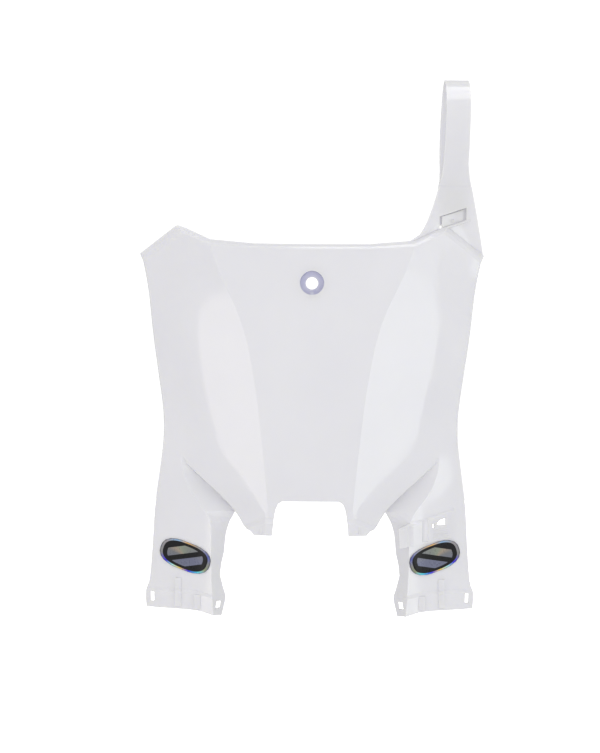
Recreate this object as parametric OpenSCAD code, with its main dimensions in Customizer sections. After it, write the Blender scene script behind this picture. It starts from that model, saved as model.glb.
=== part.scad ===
// Front number board for a motocross motorcycle: one thin-walled moulding with a flat centre
// panel, swept side facets, two fork legs ending in collars, and a strap loop at the top right.
// The origin is the centre of the bolt's seat, on the floor of the recess; the front faces -Y,
// +Z is up and +X is the viewer's right.

/* [Board] */
// Width over everything, mm
board_w = 279; // [262:1:296]
// Height from the bolt hole down to the foot of the collars, mm
board_drop = 262; // [250:1:274]
// How far the top corners sweep back behind the bolt hole, mm
corner_sweep = 26; // [22:0.5:30]
// Wall thickness of the moulding, mm
wall = 2.4; // [1.8:0.1:3]
// Height of the folded-back lip along the top edge, mm
lip_h = 4.2; // [3:0.1:6]
// How far the lip leans back, mm
lip_back = 6; // [4:0.5:8]
// Depth of the return wall on the outside of each leg, mm
leg_return = 15; // [8:1:20]

/* [Bolt hole] */
// Clear hole for the bolt, mm
bolt_d = 10; // [8:0.5:11]
// Recess around the bolt hole, mm
recess_d = 19; // [17:0.5:21]
// Depth of that recess, mm
recess_depth = 5.5; // [4:0.1:6]
// Boss behind the recess, mm
boss_d = 26; // [24:0.5:30]
// Reach of the boss behind the front face, mm
boss_depth = 8; // [7.5:0.5:10]

/* [Collars] */
// How far the collar at the foot of each leg stands proud, mm
collar_step = 1.8; // [1:0.1:2.4]
// Width of the tie slots in the collars, mm
tie_slot_w = 3; // [2:0.1:3.6]
// Height of the tie slots, mm
tie_slot_h = 7.6; // [6:0.2:8.4]
// Width of the ribs on the collars, mm
rib_w = 5; // [3.6:0.1:5.6]
// How far the ribs stand proud, mm
rib_raise = 0.6; // [0.4:0.1:1]

/* [Strap loop] */
// Width of the strap, mm
strap_w = 20; // [18:0.5:21]
// Thickness of the strap, mm
strap_t = 2.2; // [1.6:0.1:3]
// Top of the strap loop above the bolt hole, mm
loop_top = 167; // [158:1:176]
// Depth of the loop from front to back, mm
loop_depth = 58; // [48:1:66]
// Width of the opening that the strap end locks into, mm
lock_w = 21.6; // [20:0.2:22.4]
// Width of the strap end standing in that opening, mm
tongue_w = 17.4; // [14:0.2:18.4]

/* [Hose guide] */
// How far the hose guide stands proud of the leg, mm
guide_raise = 1.6; // [1.2:0.1:2.2]
// Width of the window in the guide, mm
window_w = 7; // [5:0.5:8]

/* [Decals] */
// Length of each leg decal, mm
decal_l = 43; // [36:0.5:44]
// Height of each leg decal, mm
decal_h = 23; // [18:0.5:24]
// Lean of the decals towards the middle, degrees
decal_tilt = 18; // [12:1:20]
// Thickness of the decals, mm
decal_t = 0.4; // [0.3:0.05:0.6]

/* [Hidden] */
// The lines below are drawn for a board of these sizes, and stretch with it.
kx = board_w / 279;
ky = corner_sweep / 26;
kz = board_drop / 262;

// Lines down the left half from the centre outwards, as [height, distance out, depth].
mid_line = [[29, 0, 3], [0, 0, 0], [-45, 0, -0.9], [-100, 0, -0.9], [-145, 0, 1.8], [-184, 0, 6]];
notch_line = [[29, 46, 3.2], [0, 38, 0.3], [-45, 30, -0.6], [-100, 26, -0.6], [-145, 24, 2.2],
  [-173.5, 22.5, 5.2], [-175.5, 25.6, 5.6], [-179.5, 27.4, 6.1], [-184, 28.5, 6.8], [-188, 29.2, 7.4],
  [-201, 30.4, 9.5]];
crease_line = [[29, 81, 4], [15, 76.5, 2.2], [-7, 66.4, 0.8], [-25, 58.2, 0.3], [-45, 51.6, 0],
  [-68, 46.8, 0], [-92, 42.9, 0], [-122, 39.3, 1], [-145, 36.9, 3], [-165, 35, 5], [-184, 33.2, 7],
  [-188, 32.4, 7.6], [-201, 33, 9.7]];
fold_line = [[29, 105, 12.5], [0, 102.5, 13], [-50, 97, 14], [-80, 92.5, 14.3], [-107, 86.5, 14.7],
  [-128, 80.5, 15], [-134, 78, 15], [-146, 66.5, 13], [-154, 58, 11.5], [-164, 49.5, 9.6],
  [-174, 42.6, 8.5], [-184, 35.6, 7.7], [-188, 35.8, 8.1], [-201, 35.6, 10.3]];
outer_line = [[29, 135.5, 26], [0, 131.5, 27], [-40, 127.3, 28], [-75, 122.3, 28.6], [-103, 118.6, 29],
  [-124, 118.6, 30], [-150, 122, 33], [-180, 126, 36], [-208, 127.8, 38], [-225, 129, 39],
  [-238, 130.2, 40], [-243, 131, 40], [-249, 133.4, 40], [-262, 132.8, 40]];
// From the start of each leg: the edge of the tab, the inner side of the leg and the two ridge edges.
leg_top = -141;
tab_line = [[-141, 102.5, 25.6], [-157.3, 86.2, 23], [-166.7, 75.4, 21.6], [-176.1, 65.8, 20.6],
  [-182.8, 57.4, 19.4], [-188, 53, 17.6], [-201, 45, 14]];
inner_line = [[-141, 103.4, 26], [-148, 97.4, 27.4], [-157.3, 87.4, 29.6], [-166.7, 76.6, 29.8],
  [-176.1, 67, 28.4], [-182.8, 60.4, 27], [-190, 64.4, 28.6], [-203, 68.3, 31.5], [-213.5, 69.2, 33.5],
  [-223, 71.7, 35], [-229.5, 72.8, 36], [-235.4, 71.7, 36.8], [-243.5, 68.2, 37.8], [-262, 71.4, 38.5]];
ridge_in = [[-141, 104.3, 26.1], [-155, 101.4, 24.6], [-167, 95.8, 21.8], [-176.5, 88.8, 18.8],
  [-184, 83.1, 16.8], [-192, 79.8, 15.9], [-213, 79.4, 15.8], [-238, 78.6, 16.6], [-262, 77, 17.2]];
ridge_out = [[-141, 105.2, 26.3], [-155, 102.8, 25.2], [-167, 97.6, 22.6], [-176.5, 91.8, 20],
  [-184, 90.1, 19.2], [-192, 89.8, 19.1], [-213, 89.7, 19.1], [-238, 89.4, 19.8], [-262, 88.5, 20.4]];
// The top edge, as [distance out, height].
top_edge = [[0, 27.2], [40, 27.4], [70, 28], [81, 29.4], [104, 40.3], [106, 40], [136, 18.3]];
// The lip above the top edge, as [share of its lean, share of its height]: a bright chamfer, then the lip.
lip_path = [[1, 1], [0.17, 0.42], [0, 0]];
lip_spread = 3.2;
lip_rows = len(lip_path) - 1;

// Heights of the rows below the lip.
rows = [29, 20, 8, -7, -21, -35, -49, -63, -77, -90, -102, -113, -122, -128, -134, -139,
  -144, -149, -154, -159, -164, -169, -173.5, -175.5, -179.5, -182.8, -187.2, -191.4, -196, -201, -208,
  -215, -223, -231, -238, -243.5, -246, -248.8, -255, -262];
row_count = len(rows) + lip_rows;
// The collars start proud at this row and are fully proud at the next.
collar_rows = [-246, -248.8];
// Below this height the top edge bends the rows, and the foot of each tab comes forward by tab_step.
edge_from = -12;
tab_foot = -190;
tab_step = 2.2;

// The notch, the tabs and the webs between tab and leg end above these heights.
notch_z = -174;
tab_z = -201.5;
armpit_z = -184;

// Number of cells between neighbouring lines.
cells = [3, 1, 4, 4, 1, 3, 1, 5, 2];
function sum(v, n) = n <= 0 ? 0 : v[n - 1] + sum(v, n - 1);
marks = [for (i = [0:len(cells)]) sum(cells, i)];
half = marks[len(cells)];

function span(t, p, i = 0) = (i >= len(p) - 2 || t >= p[i + 1][0]) ? i : span(t, p, i + 1);
function tail(v) = [v[1], v[2]];
function rise(p, i) =
  let (a = max(0, i - 1), b = min(len(p) - 1, i + 1))
  (tail(p[b]) - tail(p[a])) / (p[b][0] - p[a][0]);
function along(t, p) =
  let (i = span(t, p), h = p[i + 1][0] - p[i][0], s = min(1, max(0, (t - p[i][0]) / h)))
  (2 * s ^ 3 - 3 * s ^ 2 + 1) * tail(p[i]) + (s ^ 3 - 2 * s ^ 2 + s) * h * rise(p, i)
  + (3 * s ^ 2 - 2 * s ^ 3) * tail(p[i + 1]) + (s ^ 3 - s ^ 2) * h * rise(p, i + 1);
function ramp(t, a, b) = let (s = min(1, max(0, (t - a) / (b - a)))) s * s * (3 - 2 * s);
function soft(d, w) = d < -w ? 0 : d > w ? d : (d + w) ^ 2 / (4 * w);

// Depth of the plain upper surface outside the crease.
function upper_depth(x, z) =
  let (c = along(z, crease_line), f = along(z, fold_line), o = along(z, outer_line),
    a = (f[1] - c[1]) / (f[0] - c[0]), b = (o[1] - f[1]) / (o[0] - f[0]),
    w = 0.6 + 4 * ramp(z, -136, -80) + 4 * ramp(z, -60, 10))
  c[1] + a * (x - c[0]) + (b - a) * soft(x - f[0], w);

// The marked lines at a height, as [distance out, depth], from the centre to the return wall's edge.
function marked(z) =
  let (f = along(z, fold_line), o = along(z, outer_line), k = ramp(z, -139, -70),
    even = [4, 5, 8, 9] / 14, tight = [0.6, 0.625, 0.65, 0.675],
    free = [for (i = [0:3]) f[0] + (o[0] - f[0]) * (k * even[i] + (1 - k) * tight[i])],
    leg_lines = [tab_line, inner_line, ridge_in, ridge_out])
  concat([for (p = [mid_line, notch_line, crease_line, fold_line]) along(z, p)],
    [for (i = [0:3]) z > leg_top ? [free[i], upper_depth(free[i], z)] : along(z, leg_lines[i])],
    [o, o + [0.8, 3 + (leg_return - 3) * (1 - ramp(z, -180, -100))]]);

// Depth between the outer ridge edge and the outer line, with a slight hollow; t runs from 0 to 1.
function leg_side(m, t) = m[7][1] + (m[8][1] - m[7][1]) * (0.9 * t + 0.1 * t * t);

// How much of the collars' step is reached at a height.
function collar_share(z) = 1 - ramp(z, collar_rows[1], collar_rows[0]);

function edge_z(x) = lookup(x, top_edge);

// How far the feet of the tabs and the collars drop towards the middle.
function tab_drop(z, x) =
  6.4 * ramp(x, 35, 54) * (z > -188 ? ramp(z, -176, -187) : 1 - ramp(z, -189, -200));
function collar_drop(z, x) = 7.6 * (max(0, 97 - x) / 27) ^ 2.2 * (1 - ramp(z, -246, -200));

// Height after the rows bend to the top edge, the tabs and the tilted collars.
function bend(z, x, h) =
  z > edge_from ? edge_from + (edge_z(x) - edge_from) * (z - edge_from) / (rows[0] - edge_from)
  : h > marks[1] && h <= marks[4] ? (z < -176 ? z - tab_drop(z, x) : z)
  : h >= marks[5] ? z - collar_drop(z, x)
  : z;

// A point on the drawn half at a row's height and a cell count out from the centre.
function half_point(z, h) =
  let (m = marked(z), i = max([for (k = [0:len(cells) - 1]) marks[k] <= h ? k : 0]),
    t = (h - marks[i]) / cells[i],
    x = m[i][0] + (m[i + 1][0] - m[i][0]) * t,
    y = m[i][1] + (m[i + 1][1] - m[i][1]) * t,
    d = z > leg_top && h > marks[2] && h < marks[8] ? upper_depth(x, z)
      : h > marks[7] && h < marks[8] ? leg_side(m, t)
      : h < marks[1] ? m[0][1] + (m[1][1] - m[0][1]) * t * t
      : y,
    step = h >= marks[6] && h < marks[8] ? collar_step * collar_share(z)
      : h >= marks[1] && h <= marks[4] && z < tab_foot ? tab_step
      : 0)
  [x, d - step, bend(z, x, h)];

// Height of the lip at a distance out: it grows towards the corners.
function lip_rise(x) = lip_h * (1 + 0.55 * ramp(x, 60, 100));

function point(r, q) =
  let (p = half_point(rows[max(0, r - lip_rows)], abs(q)), lip = lip_path[min(r, lip_rows)],
    lean = lip[0] == 1 ? 1 : lip[0] * lip_rise(p[0]) / lip_h)
  [sign(q) * kx * (p[0] + lip[1] * lip_spread * ramp(p[0], 70, 110)),
    ky * p[1] + lean * lip_back,
    kz * p[2] + lip[1] * lip_rise(p[0])];

function open_cell(r, q) =
  let (c = q >= 0 ? q : -q - 1, z = r < lip_rows ? rows[0] : rows[r - lip_rows + 1])
  r >= 0 && r < row_count - 1 && c < half
  && (c < marks[1] ? z > notch_z : c < marks[4] ? z > tab_z : c < marks[5] ? z > armpit_z : true);

front = [for (r = [0:row_count - 1]) [for (q = [-half:half]) point(r, q)]];
function fp(r, q) = front[r][q + half];
function beside(r, q) = open_cell(r, q) || open_cell(r - 1, q);
function unit(v) = v / norm(v);
function inward(r, q) =
  let (a = r > 0 ? r - 1 : r, b = r < row_count - 1 && (open_cell(r, q) || open_cell(r, q - 1)) ? r + 1 : r,
    c = q > -half && beside(r, q - 1) ? q - 1 : q, d = q < half && beside(r, q) ? q + 1 : q)
  (a == b || c == d) ? [0, 1, 0] : unit(cross(fp(r, d) - fp(r, c), fp(b, q) - fp(a, q)));

function quad(a, b, c, d) = [[a, c, b], [a, d, c]];
function id(r, q, layer) = (layer * row_count + r) * (2 * half + 1) + q + half;

module board_shell() {
  back = [for (r = [0:row_count - 1]) for (q = [-half:half]) fp(r, q) + wall * inward(r, q)];
  // the two skins of a cell, and a wall on each side that has no neighbour
  faces = [for (r = [0:row_count - 2]) for (q = [-half:half - 1]) if (open_cell(r, q))
    let (a = id(r, q, 0), b = id(r + 1, q, 0), c = id(r + 1, q + 1, 0), d = id(r, q + 1, 0),
      e = id(r, q, 1), f = id(r + 1, q, 1), g = id(r + 1, q + 1, 1), h = id(r, q + 1, 1))
    each concat(
      quad(a, b, c, d),
      quad(e, h, g, f),
      open_cell(r - 1, q) ? [] : quad(a, d, h, e),
      open_cell(r + 1, q) ? [] : quad(b, f, g, c),
      q > -half && open_cell(r, q - 1) ? [] : quad(a, e, f, b),
      open_cell(r, q + 1) ? [] : quad(d, c, g, h))];
  polyhedron(points = concat([for (r = front) each r], back), faces = faces, convexity = 8);
}

// A solid between a front grid of points and a back grid of the same size.
module block(front_grid, back_grid) {
  n = len(front_grid);
  m = len(front_grid[0]);
  function at(i, j, k) = (k * n + i) * m + j;
  skins = [for (i = [0:n - 2]) for (j = [0:m - 2]) each concat(
    quad(at(i, j, 0), at(i + 1, j, 0), at(i + 1, j + 1, 0), at(i, j + 1, 0)),
    quad(at(i, j, 1), at(i, j + 1, 1), at(i + 1, j + 1, 1), at(i + 1, j, 1)))];
  ends = [for (j = [0:m - 2]) each concat(
    quad(at(0, j, 0), at(0, j + 1, 0), at(0, j + 1, 1), at(0, j, 1)),
    quad(at(n - 1, j, 0), at(n - 1, j, 1), at(n - 1, j + 1, 1), at(n - 1, j + 1, 0)))];
  sides = [for (i = [0:n - 2]) each concat(
    quad(at(i, 0, 0), at(i, 0, 1), at(i + 1, 0, 1), at(i + 1, 0, 0)),
    quad(at(i, m - 1, 0), at(i + 1, m - 1, 0), at(i + 1, m - 1, 1), at(i, m - 1, 1)))];
  polyhedron(
    points = [for (g = [front_grid, back_grid]) for (r = g) each r],
    faces = concat(skins, ends, sides),
    convexity = 4);
}

function shifted(grid, y) = [for (r = grid) [for (p = r) p + [0, y, 0]]];
function mix(a, b, t) = a + (b - a) * t;

// Depth of a leg's front at a drawn distance out and height.
function leg_depth(x, z) =
  let (m = marked(z), t = (x - m[7][0]) / (m[8][0] - m[7][0]))
  ky * (x < m[6][0] ? m[6][1] + 0.12 * (m[6][0] - x)
    : x < m[7][0] ? mix(m[6][1], m[7][1], (x - m[6][0]) / (m[7][0] - m[6][0]))
    : leg_side(m, t));

// A raised patch on the right leg between a top and a foot line of drawn [distance out, height] pairs.
// Its upper border rises over bevel, and n is its number of rows of cells.
pad_root = 1.2;
module leg_pad(top, foot, raise, bevel, n) {
  grid = [for (i = [0:n]) [for (j = [0:len(top) - 1])
    let (t = i == 0 ? 0 : mix(bevel / norm(top[j] - foot[j]), 1, (i - 1) / (n - 1)),
      p = mix(top[j], foot[j], t))
    [kx * p[0], leg_depth(p[0], p[1]) - raise * (i == 0 ? 0.1 : 1), kz * p[1]]]];
  block(grid, shifted(grid, raise + pad_root));
}

module y_cylinder(d, from, to) {
  translate([0, from, 0])
    rotate([-90, 0, 0])
      cylinder(h = to - from, d = d);
}

module y_prism(outline, from, to) {
  translate([0, to, 0])
    rotate([90, 0, 0])
      linear_extrude(to - from)
        polygon(outline);
}

// Base of the strap: a sheet rising from the lip at the top right to the width of the strap.
strap_x = kx * 114.6;
base_line = [76.8, 135.2];
base_top = [strap_x - strap_w / 2 - 3.3, strap_x + strap_w / 2 + 2.7];
base_top_y = 17;
base_top_z = 79;
function base_point(u, v) =
  let (x0 = mix(base_line[0], base_line[1], u),
    lip_x = kx * (x0 + lip_spread * ramp(x0, 70, 110)),
    lip_y = ky * upper_depth(x0, rows[0]) + lip_back + 0.2,
    lip_z = kz * edge_z(x0) + lip_rise(x0),
    narrow = mix(sqrt(v), v, u))
  [mix(lip_x, mix(base_top[0], base_top[1], u), narrow),
    mix(base_top_y, lip_y, (1 - v) ^ 1.7),
    mix(lip_z, base_top_z, v)];

// Depth of the base at a place, found by walking its grid.
function base_depth(x, z) =
  let (near = [for (i = [0:24]) for (j = [0:24])
      let (p = base_point(i / 24, j / 24)) [norm([p[0] - x, p[2] - z]), p[1]]],
    best = min([for (n = near) n[0]]))
  [for (n = near) if (n[0] == best) n[1]][0];

// The lock: the opening's corners follow the lean of the rail below it.
lock_x = strap_x - 1.9;
lock_z = [44.5, 54.5];
lock_lean = 0.35;
function lock_point(x, k, inset) =
  [x, mix(lock_z[0], lock_z[1], k) + lock_lean * (x - lock_x + lock_w / 2) + (k == 0 ? inset : -inset)];
function lock_outline(width, inset) =
  [for (p = [[-1, 0], [1, 0], [1, 1], [-1, 1]]) lock_point(lock_x + p[0] * width / 2, p[1], inset)];

module strap_base() {
  // the last row stands in the lip
  grid = [for (i = [0:9]) [for (j = [0:10])
    i < 9 ? base_point(j / 10, 1 - i / 8) : base_point(j / 10, 0) - [0, 0, 1.6]]];
  difference() {
    block(grid, shifted(grid, wall));
    y_prism(lock_outline(lock_w, 0), 8, 40);
  }
  // the rail under the opening, its upper face turned up
  rail = [for (k = [0, 1]) [for (j = [0:4])
    let (x = lock_x - lock_w / 2 - 1.4 + (lock_w + 4.6) * j / 4,
      z = lock_point(x, 0, 0)[1] + (k == 0 ? 0.4 : -1.6))
    [x, base_depth(x, z) - (k == 0 ? 0.1 : 1.2), z]]];
  block(rail, shifted(rail, 2.6));
}

// The end of the strap standing in the opening, with its small dimple.
tongue_step = 1.1;
tongue_gap = 0.5;
module tongue() {
  c = lock_outline(tongue_w, tongue_gap);
  skin = [for (side = [[c[3], c[2]], [c[0], c[1]]]) [for (j = [0:4])
    let (p = mix(side[0], side[1], j / 4)) [p[0], base_depth(p[0], p[1]) + tongue_step, p[1]]]];
  difference() {
    block(skin, [for (r = skin) [for (p = r) [p[0], strap_end_y, p[2]]]]);
    translate([lock_x - 0.3, 0, 51.6])
      y_cylinder(3, 10, 20.8);
  }
}

// The strap: a ribbon drawn from the side as [depth, height], cut to its outline from the front.
strap_end_y = 24.2;
loop_k = loop_depth / 58;
loop_path = [for (p = [[19.4, 73], [18.15, 79.4], [15.6, 87], [12.2, 96], [8.6, 107], [6.6, 120], [7.4, 137],
  [12.6, 151], [22, 161], [35, 165.9], [48, 162], [57.5, 152], [62.6, 137], [61.6, 121], [53.4, 104],
  [41, 92], [30, 83], [25.4, 73], [24.4, 60], [24.3, 44]])
  p[1] > 80 ? [17 + (p[0] - 17) * loop_k, 80 + (p[1] - 80) * (loop_top - 80) / 87] : p];
function bow(p, i, s) =
  let (n = len(p) - 1, a = p[max(0, i - 1)], b = p[i], c = p[i + 1], d = p[min(n, i + 2)])
  0.5 * (2 * b + (c - a) * s + (2 * a - 5 * b + 4 * c - d) * s ^ 2 + (3 * b - a - 3 * c + d) * s ^ 3);

// Left and right edges of the strap, from its edges at rest, as [height, left, right].
strap_edges = [[200, 2.4, 0.8], [150, 1.8, 1.1], [120, 0.7, 0.2], [96, -0.4, -0.4], [86, -1.6, 1],
  [80.3, -3.05, 2.2], [76.4, -3.4, 2.3], [72, -3.6, 0], [40, -3.6, 0]];

module strap() {
  fine = [for (i = [0:len(loop_path) - 2]) for (s = [0, 0.33, 0.67]) bow(loop_path, i, s)];
  n = len(fine) - 1;
  side = [for (i = [0:n])
    let (t = unit(fine[min(n, i + 1)] - fine[max(0, i - 1)])) [t[1], -t[0]] * strap_t / 2];
  ring = concat([for (i = [0:n]) fine[i] + side[i]], [for (i = [n:-1:0]) fine[i] - side[i]]);
  left = [for (e = strap_edges) [strap_x - strap_w / 2 + e[1], e[0]]];
  right = [for (e = strap_edges) [strap_x + strap_w / 2 + e[2], e[0]]];
  intersection() {
    translate([strap_x - 25, 0, 0])
      rotate([90, 0, 90])
        linear_extrude(50)
          polygon(ring);
    y_prism(concat(left, [for (i = [len(right) - 1:-1:0]) right[i]]), -10, 90);
  }
}

// Slots for the ties, as [distance out, height, share of the full height, lean].
module tie_slots() {
  for (side = [-1, 1])
    for (slot = [[127.6, -253.2, 1, 2], [73.9, -258.7, 0.8, -8]])
      translate([side * kx * slot[0], 0, kz * slot[1]])
        rotate([0, side * slot[3], 0])
          translate([-tie_slot_w / 2, 0, -tie_slot_h * slot[2] / 2])
            cube([tie_slot_w, 70, tie_slot_h * slot[2]]);
}

// An upright rib with a flat front that follows the leg down over the collar's step.
module leg_rib(side, inner, top_z, foot_z) {
  levels = concat([top_z], [for (z = collar_rows) if (z < top_z) z], [foot_z]);
  grid = [for (z = levels) [for (j = [0, 1])
    [side * (kx * inner + rib_w * (side > 0 ? j : 1 - j)),
      leg_depth(inner, z) - collar_step * collar_share(z) - rib_raise, kz * z]]];
  block(grid, shifted(grid, rib_raise + 4));
}

module collar_ribs() {
  for (side = [-1, 1]) {
    leg_rib(side, 103.6, -237, -259.5);
    leg_rib(side, 87.4, -249.5, -261);
    // a thin rib on the foot of each tab
    translate([side * kx * 39.1 - 0.7, 8.3, kz * -199.4])
      cube([1.4, 4, 5]);
  }
}

// The hose guide: a pad hollowed by a shallow channel and a deep groove, with three small ridges.
module hose_guide() {
  difference() {
    leg_pad(
      [[70.6, -195.6], [75.4, -193.2], [79.9, -190.7], [87, -188.8], [95.3, -186.4], [106, -183.2], [117, -180]],
      [[71.6, -211.5], [76, -210.6], [80.4, -209.5], [87, -208.6], [95.3, -207], [105, -205.4], [115, -203.5]],
      guide_raise, 2, 4);
    translate([kx * 80.6, ky * 16.2 - guide_raise - 3.3, kz * -214])
      cylinder(h = 20.5, d = 9);
    translate([kx * 93.4, ky * 21 - guide_raise - 2, kz * -206])
      cylinder(h = 18.5, d = 7);
  }
  for (k = [0:2])
    translate([0, 0, -3 * k])
      leg_pad([[99, -196.5], [105.5, -195.9], [112, -195.2]], [[99, -197.6], [105.5, -197], [112, -196.3]],
        guide_raise + 0.4, 0.5, 2);
}

// The window and the small slot beside it, from the window's lower inner corner.
module guide_holes() {
  window = [[0, 0], [window_w, 0], [window_w, 5.7], [window_w - 4.6, 4.1], [window_w - 6.6, 2.1]];
  slot = [[-3.9, -2.1], [-2.3, -2.1], [-2.3, 1.3], [-3.9, 0.9]];
  translate([kx * 102, 0, kz * -193.1]) {
    y_prism(window, 0, 60);
    y_prism(slot, 0, 60);
  }
}

module moulding() {
  $fn = 32;
  difference() {
    union() {
      board_shell();
      y_cylinder(boss_d, 2, boss_depth);
      collar_ribs();
      hose_guide();
      strap_base();
      tongue();
      strap();
    }
    tie_slots();
    guide_holes();
  }
}

// The moulding, held to its width over everything, with the bolt's recess and hole cut into it.
module number_plate() {
  $fn = 64;
  color("white")
    translate([0, -recess_depth, 0])
      difference() {
        resize([board_w, 0, 0])
          moulding();
        // a small key stands in the foot of the recess
        difference() {
          y_cylinder(recess_d, -3, recess_depth);
          translate([-1.3, -4, -recess_d / 2 - 1])
            cube([2.6, 8 + recess_depth, 2.9]);
        }
        y_cylinder(bolt_d, -1, boss_depth + 1);
      }
}

// A thin decal that follows the front of a leg, a little off it so that the two never cut.
decal_x = kx * 100.6;
decal_z = kz * -219.2;
decal_gap = 0.2;
decal_round = 2.6;
module decal(side) {
  tall = 10;
  wide = 10;
  grid = [for (i = [0:tall]) [for (j = [0:wide])
    let (v = 0.985 * sin(90 - 180 * i / tall), u = side * (2 * j / wide - 1),
      a = u * decal_l / 2 * (1 - abs(v) ^ decal_round) ^ (1 / decal_round), b = v * decal_h / 2,
      x = decal_x + a * cos(decal_tilt) - b * sin(decal_tilt),
      z = decal_z + a * sin(decal_tilt) + b * cos(decal_tilt))
    [side * x, leg_depth(x / kx, z / kz) - decal_gap, z]]];
  block(shifted(grid, -decal_t), grid);
}

module left_decal() {
  color("silver")
    translate([0, -recess_depth, 0])
      decal(-1);
}

module right_decal() {
  color("silver")
    translate([0, -recess_depth, 0])
      decal(1);
}

number_plate();
left_decal();
right_decal();
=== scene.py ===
import math

import bmesh
import bpy
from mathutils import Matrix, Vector


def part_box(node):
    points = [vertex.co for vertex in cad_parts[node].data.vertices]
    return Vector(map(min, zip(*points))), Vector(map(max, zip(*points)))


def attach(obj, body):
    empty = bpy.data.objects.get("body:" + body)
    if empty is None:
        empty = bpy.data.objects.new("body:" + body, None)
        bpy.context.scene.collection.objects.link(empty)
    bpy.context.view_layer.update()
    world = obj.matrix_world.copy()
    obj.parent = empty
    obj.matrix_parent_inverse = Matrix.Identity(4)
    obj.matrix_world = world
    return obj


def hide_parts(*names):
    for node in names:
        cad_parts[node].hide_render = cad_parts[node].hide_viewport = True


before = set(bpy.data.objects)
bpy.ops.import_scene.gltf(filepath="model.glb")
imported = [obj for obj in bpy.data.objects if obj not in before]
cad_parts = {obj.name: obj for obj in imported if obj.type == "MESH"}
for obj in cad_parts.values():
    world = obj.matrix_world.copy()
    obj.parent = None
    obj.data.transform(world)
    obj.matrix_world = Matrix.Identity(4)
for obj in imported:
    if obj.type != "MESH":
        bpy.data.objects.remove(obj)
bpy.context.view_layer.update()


# Materials

# The bolt's recess, where shade is painted cooler and darker: its radius, and how far back from the bolt's
# seat it may reach, in metres.
RECESS_RADIUS = 0.00952
RECESS_BACK = 0.0005

# The range that a noise texture mostly keeps to.
NOISE_RANGE = (0.3, 0.7)

# The decals' own coordinates: their long and short half sizes in metres, their lean, and the power of
# the rounded outline, which runs where the radius is 1.
DECAL_HALF = (0.0215, 0.0115)
DECAL_LEAN = math.radians(18)
OUTLINE_POWER = 2.6

# The foil's plain colours.
DARK, SILVER, BLUISH = (0.012, 0.012, 0.013), (0.20, 0.205, 0.22), (0.17, 0.18, 0.26)
PLAIN_RIM, PLAIN_OUTLINE = (0.30, 0.30, 0.31), (0.07, 0.07, 0.08)

# Colours round the decal, by part of a turn: its grey field with a painted coloured sheen, its rim with
# painted coloured glints, and its outline.
FIELD_AND_PAINTED_SHEEN = (
    (0.0, BLUISH), (0.3, BLUISH), (0.5, SILVER), (0.6, (0.36, 0.30, 0.24)), (0.68, (0.27, 0.30, 0.24)),
    (0.85, SILVER), (1.0, BLUISH))
RIM_AND_PAINTED_GLINTS = (
    (0.0, (0.30, 0.30, 0.29)), (0.08, (0.30, 0.34, 0.2)), (0.14, (0.10, 0.62, 0.75)),
    (0.20, (0.05, 0.02, 0.8)), (0.26, (0.85, 0.6, 0.08)), (0.31, (0.45, 0.85, 0.8)),
    (0.36, (0.06, 0.03, 0.75)), (0.44, PLAIN_RIM), (0.60, (0.36, 0.34, 0.36)), (0.68, (0.3, 0.5, 0.75)),
    (0.74, (0.75, 0.45, 0.16)), (0.82, PLAIN_RIM), (0.92, (0.12, 0.14, 0.42)), (1.0, (0.30, 0.30, 0.29)))
OUTLINE_COLOURS = (
    (0.0, PLAIN_OUTLINE), (0.2, (0.12, 0.2, 0.4)), (0.4, PLAIN_OUTLINE), (1.0, (0.09, 0.09, 0.14)))

# Where the foil's colours change: over the wave of the bars, and over the radius for the others.
BAR_EDGE = (0.3, 0.36)
RING_EDGE = (0.69, 0.71)
RIM_EDGE = (0.875, 0.89)
OUTLINE_EDGE = (0.965, 0.98)


def grey(v):
    return (v, v, v)


def new_material(name):
    """A material with an empty Principled shader: the material, its node tree and the shader."""
    mat = bpy.data.materials.new(name)
    mat.use_nodes = True
    tree = mat.node_tree
    tree.nodes.clear()
    out = tree.nodes.new("ShaderNodeOutputMaterial")
    bsdf = tree.nodes.new("ShaderNodeBsdfPrincipled")
    tree.links.new(bsdf.outputs["BSDF"], out.inputs["Surface"])
    return mat, tree, bsdf


def own_place(tree):
    """The object's own coordinates, in metres."""
    return tree.nodes.new("ShaderNodeTexCoord").outputs["Object"]


def noise(tree, scale, detail=2.0):
    """A noise texture in the object's own metres."""
    texture = tree.nodes.new("ShaderNodeTexNoise")
    texture.inputs["Scale"].default_value = scale
    texture.inputs["Detail"].default_value = detail
    tree.links.new(own_place(tree), texture.inputs["Vector"])
    return texture.outputs["Fac"]


def maths(tree, operation, *sources):
    """A maths node; each input is an output socket or a plain number."""
    node = tree.nodes.new("ShaderNodeMath")
    node.operation = operation
    for socket, source in zip(node.inputs, sources):
        if isinstance(source, float):
            socket.default_value = source
        else:
            tree.links.new(source, socket)
    return node.outputs[0]


def ramp(tree, source, stops):
    """A colour ramp driven by source; its colour output."""
    node = tree.nodes.new("ShaderNodeValToRGB")
    elements = node.color_ramp.elements
    while len(elements) < len(stops):
        elements.new(0.5)
    for element, (place, colour) in zip(elements, stops):
        element.position = place
        element.color = (*colour, 1.0)
    tree.links.new(source, node.inputs["Fac"])
    return node.outputs["Color"]


def step(tree, source, edge):
    """0 where source is below edge, a range, and 1 where it is above."""
    return ramp(tree, source, ((edge[0], grey(0.0)), (edge[1], grey(1.0))))


def over_noise(tree, source, low, high):
    """Colour low to colour high over the range of a noise texture."""
    return ramp(tree, source, tuple(zip(NOISE_RANGE, (low, high))))


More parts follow.
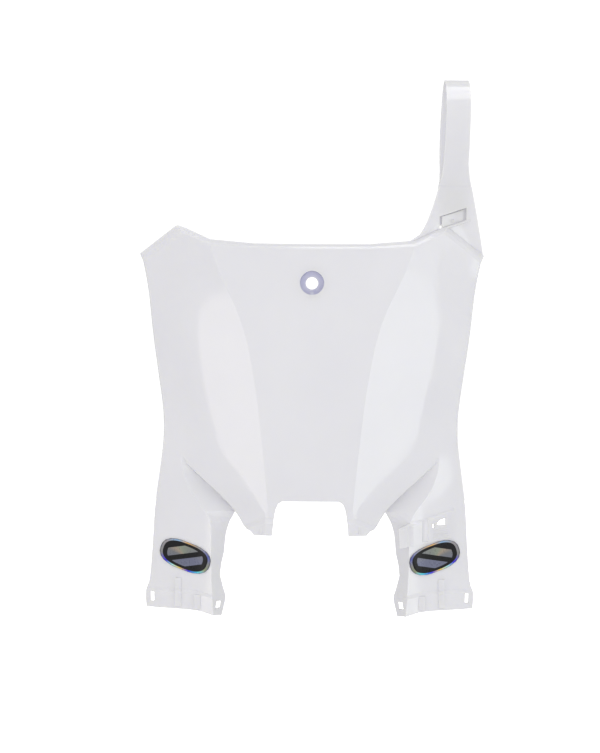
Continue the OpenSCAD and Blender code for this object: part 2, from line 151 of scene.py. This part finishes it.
def mixed(tree, factor, low, high):
    """Colour low where factor is 0 and high where it is 1; each is an output socket or a plain colour."""
    node = tree.nodes.new("ShaderNodeMix")
    node.data_type = "RGBA"
    tree.links.new(factor, node.inputs[0])
    for socket, source in ((node.inputs[6], low), (node.inputs[7], high)):
        if isinstance(source, tuple):
            socket.default_value = (*source, 1.0)
        else:
            tree.links.new(source, socket)
    return node.outputs[2]


def painted_recess_shade_mask(tree):
    """1 inside the recess round the bolt hole, where shade is painted, 0 elsewhere."""
    place = own_place(tree)
    flat = tree.nodes.new("ShaderNodeVectorMath")
    flat.operation = "MULTIPLY"
    flat.inputs[1].default_value = (1, 0, 1)
    tree.links.new(place, flat.inputs[0])
    from_axis = tree.nodes.new("ShaderNodeVectorMath")
    from_axis.operation = "LENGTH"
    tree.links.new(flat.outputs["Vector"], from_axis.inputs[0])
    split = tree.nodes.new("ShaderNodeSeparateXYZ")
    tree.links.new(place, split.inputs["Vector"])
    return maths(tree, "MULTIPLY",
                 maths(tree, "LESS_THAN", from_axis.outputs["Value"], RECESS_RADIUS),
                 maths(tree, "LESS_THAN", split.outputs["Y"], RECESS_BACK))


def white_plastic():
    """Glossy white moulded plastic that light soaks into, with a cooler, darker painted shade inside the
    bolt's recess.
    """
    mat, tree, bsdf = new_material("white_moulded_plastic")
    clouds = noise(tree, 14.0, 3.0)
    tint = over_noise(tree, clouds, (0.755, 0.752, 0.775), (0.775, 0.772, 0.792))
    # Painted shade: the recess is coloured cooler and darker, where less light reaches into it.
    painted_recess_shade = over_noise(tree, clouds, (0.60, 0.60, 0.71), (0.62, 0.62, 0.73))
    tree.links.new(mixed(tree, painted_recess_shade_mask(tree), tint, painted_recess_shade), bsdf.inputs["Base Color"])
    rough = over_noise(tree, noise(tree, 60.0, 4.0), grey(0.06), grey(0.09))
    tree.links.new(rough, bsdf.inputs["Roughness"])
    bump = tree.nodes.new("ShaderNodeBump")
    bump.inputs["Strength"].default_value = 0.03
    bump.inputs["Distance"].default_value = 0.0002
    tree.links.new(noise(tree, 900.0), bump.inputs["Height"])
    tree.links.new(bump.outputs["Normal"], bsdf.inputs["Normal"])
    bsdf.inputs["IOR"].default_value = 1.55
    bsdf.inputs["Subsurface Weight"].default_value = 0.7
    bsdf.inputs["Subsurface Radius"].default_value = (1.0, 1.0, 1.2)
    bsdf.inputs["Subsurface Scale"].default_value = 0.004
    return mat


def foil(name):
    """Printed foil: dark outline, silver rim with painted coloured glints, dark ring, grey field with
    painted sheen and dark bars.
    """
    mat, tree, bsdf = new_material(name)
    plane = tree.nodes.new("ShaderNodeUVMap")
    plane.uv_map = "plane"
    split = tree.nodes.new("ShaderNodeSeparateXYZ")
    tree.links.new(plane.outputs["UV"], split.inputs["Vector"])
    u, v = split.outputs["X"], split.outputs["Y"]

    # The distance out from the middle, 1 at the outline, and the part of a turn round it.
    powers = [maths(tree, "POWER", maths(tree, "ABSOLUTE", w), OUTLINE_POWER) for w in (u, v)]
    radius = maths(tree, "POWER", maths(tree, "ADD", *powers), 1 / OUTLINE_POWER)
    turn = maths(tree, "MULTIPLY_ADD", maths(tree, "ARCTAN2", v, u), 0.5 / math.pi, 0.5)

    bars = tree.nodes.new("ShaderNodeTexWave")
    bars.bands_direction = "DIAGONAL"
    bars.inputs["Scale"].default_value = 0.62
    tree.links.new(plane.outputs["UV"], bars.inputs["Vector"])

    # From the middle outwards: the field between the bars, the ring, the rim and the outline.
    # The field's colours round the turn are a painted sheen, and the rim's coloured glints are painted
    # glints.
    colour = mixed(tree, step(tree, bars.outputs["Fac"], BAR_EDGE), DARK, ramp(tree, turn, FIELD_AND_PAINTED_SHEEN))
    colour = mixed(tree, step(tree, radius, RING_EDGE), colour, DARK)
    colour = mixed(tree, step(tree, radius, RIM_EDGE), colour, ramp(tree, turn, RIM_AND_PAINTED_GLINTS))
    colour = mixed(tree, step(tree, radius, OUTLINE_EDGE), colour, ramp(tree, turn, OUTLINE_COLOURS))
    tree.links.new(colour, bsdf.inputs["Base Color"])

    rough = over_noise(tree, noise(tree, 350.0), grey(0.24), grey(0.36))
    tree.links.new(rough, bsdf.inputs["Roughness"])
    bsdf.inputs["Metallic"].default_value = 0.3
    bsdf.inputs["IOR"].default_value = 1.36
    return mat


# Pieces

# Vertices closer than this are one, in metres.
WELD = 2e-6

# Edges with faces at more than these angles are crisp.
BOARD_CRISP = math.radians(11.5)
DECAL_CRISP = math.radians(40)

# Some edges of the moulding are rounder than that: this many times the angle is still smooth on the
# level edges of the strap's base, between two heights on the strap's side, and on the upright edges
# of the legs, below and outside two limits.
ROUNDER = 3.5
STRAP_BASE = (0.068, 0.09)
STRAP_SIDE = 0.09
LEVEL_RISE = 0.002
LEG_TOP = -0.19
LEG_INSIDE = 0.07


def is_rounder(edge, band):
    """Whether an edge is level, on the strap's side and between band's heights, or upright on a leg."""
    a, b = (v.co for v in edge.verts)
    low, high = min(a.z, b.z), max(a.z, b.z)
    level = a.x > STRAP_SIDE and band[0] < low and high < band[1] and high - low < LEVEL_RISE
    upright = high < LEG_TOP and abs(a.x) > LEG_INSIDE and high - low > 2 * abs(a.x - b.x)
    return level or upright


def smooth_copy(node, name, angle, band=(0.0, 0.0)):
    """A smooth-shaded copy of a CAD node's mesh, with its edges kept crisp over an angle."""
    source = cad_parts[node]
    mesh = bpy.data.meshes.new(name)
    bm = bmesh.new()
    bm.from_mesh(source.data)
    bmesh.ops.transform(bm, matrix=source.matrix_world, verts=bm.verts)
    bmesh.ops.remove_doubles(bm, verts=bm.verts, dist=WELD)
    bm.normal_update()
    for face in bm.faces:
        face.smooth = True
    for edge in bm.edges:
        most = angle * (ROUNDER if is_rounder(edge, band) else 1)
        edge.smooth = len(edge.link_faces) == 2 and edge.calc_face_angle(0.0) < most
    bm.to_mesh(mesh)
    bm.free()
    obj = bpy.data.objects.new(name, mesh)
    bpy.context.scene.collection.objects.link(obj)
    return obj


def add_decal_plane(skin, node, side):
    """The decal's own coordinates as a UV map: along its long axis and across it, mirrored on the left."""
    lo, hi = (Vector(c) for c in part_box(node))
    centre = (lo + hi) / 2
    lean = DECAL_LEAN * side
    plane = skin.data.uv_layers.new(name="plane")
    for loop in skin.data.loops:
        p = skin.data.vertices[loop.vertex_index].co - centre
        along = side * (p.x * math.cos(lean) + p.z * math.sin(lean))
        across = p.z * math.cos(lean) - p.x * math.sin(lean)
        plane.data[loop.index].uv = (along / DECAL_HALF[0], across / DECAL_HALF[1])


def dress(piece, node, mat):
    """Put a material on a piece and let it stand for its CAD node."""
    piece.data.materials.clear()
    piece.data.materials.append(mat)
    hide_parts(node)
    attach(piece, "root")


board = smooth_copy("number_plate", "board", BOARD_CRISP, STRAP_BASE)
dress(board, "number_plate", white_plastic())

for side, node in ((-1, "left_decal"), (1, "right_decal")):
    skin = smooth_copy(node, node + "_skin", DECAL_CRISP)
    add_decal_plane(skin, node, side)
    dress(skin, node, foil(node + "_foil"))


# Lights and floor

# The board stands in a white tent: TENT_SEEN is its strength for the camera, which sees it as pure
# white, and TENT_LIGHT its strength for the board. The left, right and upper powers are in watts for
# one square metre, the other three in watts.
TENT_SEEN = 1.1
TENT_LIGHT = 0.722
LEFT_POWER = 4.5
RIGHT_POWER = 4.7
UPPER_POWER = 2.2
TOP_POWER = 4.0
FRONT_POWER = 6.0
BACK_POWER = 9.0
WARM, COOL, WHITE = (1.0, 0.93, 0.86), (0.93, 1.0, 0.96), (1.0, 1.0, 1.0)

# The side softboxes stand this far from MIDDLE, at these angles from the front, in degrees.
MIDDLE = Vector((0, 0.01, -0.08))
SOFTBOX_DISTANCE = 1.25
LEFT_ANGLE = -34.5
RIGHT_ANGLE = 45.5

# The point that the two fills are turned to.
FILL_TARGET = (0, 0.01, -0.05)

FLOOR_HALF = 6
FLOOR_HEIGHT = -0.62
FLOOR_GLOW = 1.0


def light_tent():
    """The world: one brightness for the board's light and reflections, another for the camera."""
    world = bpy.data.worlds.new("studio")
    bpy.context.scene.world = world
    world.use_nodes = True
    nodes, links = world.node_tree.nodes, world.node_tree.links
    nodes.clear()
    out = nodes.new("ShaderNodeOutputWorld")
    mix = nodes.new("ShaderNodeMixShader")
    path = nodes.new("ShaderNodeLightPath")
    links.new(path.outputs["Is Camera Ray"], mix.inputs[0])
    for socket, strength in ((mix.inputs[1], TENT_LIGHT), (mix.inputs[2], TENT_SEEN)):
        glow = nodes.new("ShaderNodeBackground")
        glow.inputs["Color"].default_value = (1, 1, 1, 1)
        glow.inputs["Strength"].default_value = strength
        links.new(glow.outputs[0], socket)
    links.new(mix.outputs[0], out.inputs["Surface"])


def stage_light(name, place, target, size, power, colour=WHITE, mirrored=True):
    """A rectangular light turned to target; it shows in the gloss only if mirrored."""
    data = bpy.data.lights.new(name, "AREA")
    data.shape = "RECTANGLE"
    data.size, data.size_y = size
    data.energy = power
    data.color = colour
    obj = bpy.data.objects.new(name, data)
    obj.location = place
    obj.rotation_mode = "QUATERNION"
    obj.rotation_quaternion = (Vector(target) - Vector(place)).to_track_quat("-Z", "Y")
    obj.visible_glossy = mirrored
    bpy.context.scene.collection.objects.link(obj)


def softbox(name, side_angle, across, up, power, colour):
    """A rectangular light on an upright plane at SOFTBOX_DISTANCE, square to side_angle.

    across and up are its edges on that plane, from the point level with MIDDLE.
    """
    a = math.radians(side_angle)
    away = Vector((math.sin(a), -math.cos(a), 0))
    aside = Vector((math.cos(a), math.sin(a), 0))
    size = (across[1] - across[0], up[1] - up[0])
    place = MIDDLE + away * SOFTBOX_DISTANCE + aside * (sum(across) / 2) + Vector((0, 0, sum(up) / 2))
    stage_light(name, place, place - away, size, power * size[0] * size[1], colour)


def add_floor():
    """A floor far below the board, as white as the tent, which throws no light of its own on it."""
    f, z = FLOOR_HALF, FLOOR_HEIGHT
    mesh = bpy.data.meshes.new("floor")
    mesh.from_pydata([(-f, -f, z), (f, -f, z), (f, f, z), (-f, f, z)], [], [(0, 1, 2, 3)])
    mat, _, bsdf = new_material("pale_floor")
    bsdf.inputs["Base Color"].default_value = (0.9, 0.9, 0.9, 1)
    bsdf.inputs["Roughness"].default_value = 0.9
    bsdf.inputs["Emission Color"].default_value = (1, 1, 1, 1)
    bsdf.inputs["Emission Strength"].default_value = FLOOR_GLOW
    mesh.materials.append(mat)
    floor = bpy.data.objects.new("floor", mesh)
    bpy.context.scene.collection.objects.link(floor)
    floor.visible_diffuse = False
    floor.visible_glossy = False


light_tent()
bpy.context.scene.view_settings.view_transform = "Standard"

# Each side's softboxes are the outline that the facet on that side mirrors. On the right it is cut
# from rectangles: wider in the middle than below, and dimmer at its top.
softbox("left_softbox", LEFT_ANGLE, (-0.2, 0.16), (-0.56, 0.06), LEFT_POWER, WARM)
softbox("right_softbox", RIGHT_ANGLE, (-0.26, 0.11), (-0.24, 0.03), RIGHT_POWER, COOL)
softbox("right_outer_softbox", RIGHT_ANGLE, (0.11, 0.235), (-0.17, -0.02), RIGHT_POWER, COOL)
softbox("right_middle_softbox", RIGHT_ANGLE, (-0.26, 0.105), (-0.35, -0.24), RIGHT_POWER, COOL)
softbox("right_lower_softbox", RIGHT_ANGLE, (-0.26, 0.035), (-0.56, -0.35), RIGHT_POWER, COOL)
softbox("right_upper_softbox", RIGHT_ANGLE, (-0.26, 0.15), (0.03, 0.2), UPPER_POWER, COOL)

# The lip and the strap's bend mirror the one above. The fills show in no reflection.
stage_light("top_softbox", (0.15, -0.225, 1.53), (0.11, 0.02, 0.15), (0.5, 1.2), TOP_POWER)
stage_light("front_fill", (-0.05, -2.2, 0.0), FILL_TARGET, (0.7, 0.7), FRONT_POWER, mirrored=False)
stage_light("back_fill", (0.0, 1.8, 0.1), FILL_TARGET, (2.0, 2.0), BACK_POWER, mirrored=False)

add_floor()


# The photograph's camera: square-on, 1.3 m away, near the board's middle height and leaning a little.
CAMERA_PLACE = (-0.009, -1.3055, -0.0741)
CAMERA_ROLL = math.radians(-0.4)
SENSOR_WIDTH = 36.0
LENS = 98.7

cam_data = bpy.data.cameras.new("camera")
cam_data.sensor_fit = "HORIZONTAL"
cam_data.sensor_width = SENSOR_WIDTH
cam_data.lens = LENS
cam = bpy.data.objects.new("camera", cam_data)
cam.location = CAMERA_PLACE
cam.rotation_euler = (math.radians(90), CAMERA_ROLL, 0)
bpy.context.scene.collection.objects.link(cam)
bpy.context.scene.camera = cam
